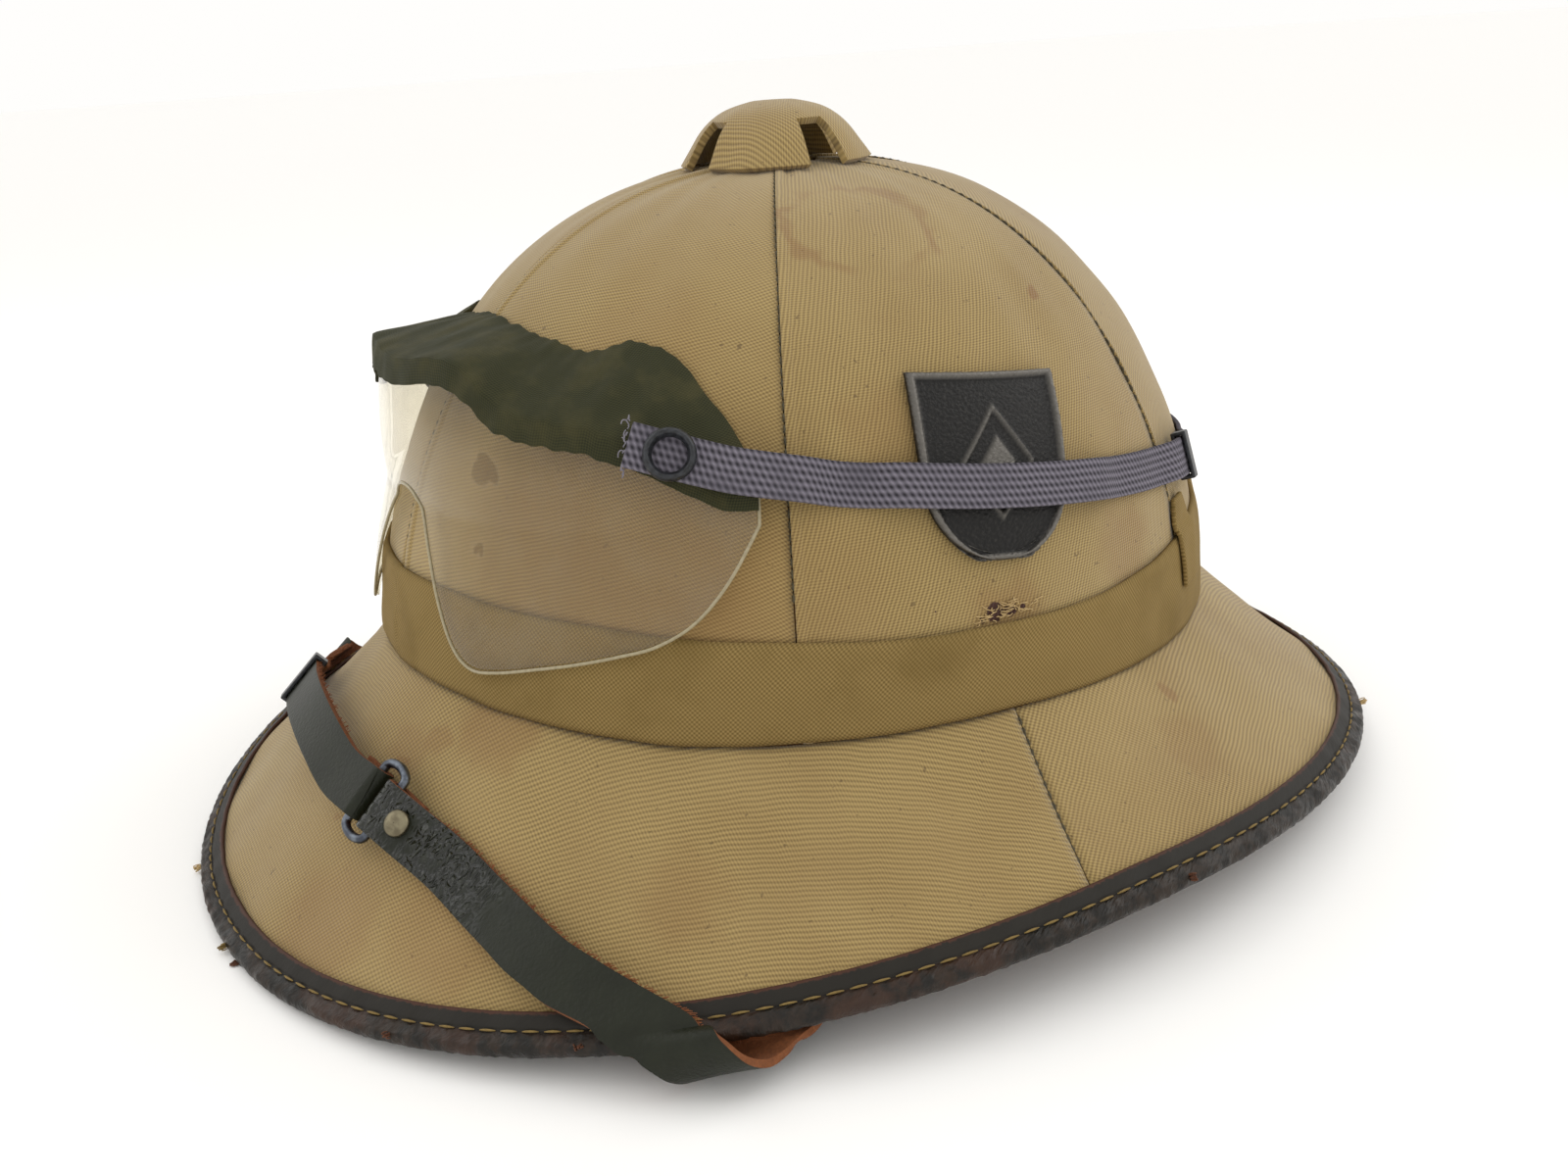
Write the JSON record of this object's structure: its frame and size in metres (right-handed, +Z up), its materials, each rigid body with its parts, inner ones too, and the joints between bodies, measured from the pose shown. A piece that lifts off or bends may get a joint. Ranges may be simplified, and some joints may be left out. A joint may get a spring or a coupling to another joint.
{
  "type": "pith helmet with goggles",
  "caption": "Cork sun helmet covered with canvas, with a cloth band, a ventilated cap, a shield badge, clear goggles on elastic webbing and a leather chin strap over the brim.",
  "frame": {"origin": "centre of the bounding box in plan, on the surface that the rim rests on", "axes": "+Z up, -Y out of the helmet's front, +X to the wearer's left"},
  "size_m": [0.2918, 0.3388, 0.1795],
  "materials": {
    "cork": "matte",
    "canvas": "worn matte twill",
    "cotton_band": "matte",
    "leather": "worn satin",
    "binding_leather": "worn",
    "cast_zinc": "dark satin",
    "clear_sheet": "clear, aged",
    "oilcloth": "coated, dull",
    "webbing": "elastic weave",
    "black_metal": "black",
    "steel": "worn",
    "worn_brass": "worn"
  },
  "bodies": {
    "root": {"cork_shell": "cork", "crown_panel_1": "canvas", "crown_panel_2": "canvas", "crown_panel_3": "canvas", "crown_panel_4": "canvas", "crown_panel_5": "canvas", "crown_panel_6": "canvas", "brim_cover_front": "canvas", "brim_cover_rear": "canvas", "brim_binding": "binding_leather", "puggaree_band": "cotton_band", "puggaree_tuck": "cotton_band", "vent_cap": "canvas", "badge": "cast_zinc", "goggle_lens": "clear_sheet", "goggle_brow": "oilcloth", "goggle_strap": "webbing", "goggle_snap_left": "black_metal", "goggle_snap_right": "black_metal", "goggle_slide": "black_metal", "chin_strap_left": "leather", "chin_strap_right": "leather", "strap_ring": "steel", "strap_rivet": "worn_brass", "strap_slide": "black_metal", "strap_anchor_left": "worn_brass", "strap_anchor_right": "worn_brass"}
  },
  "joints": []
}
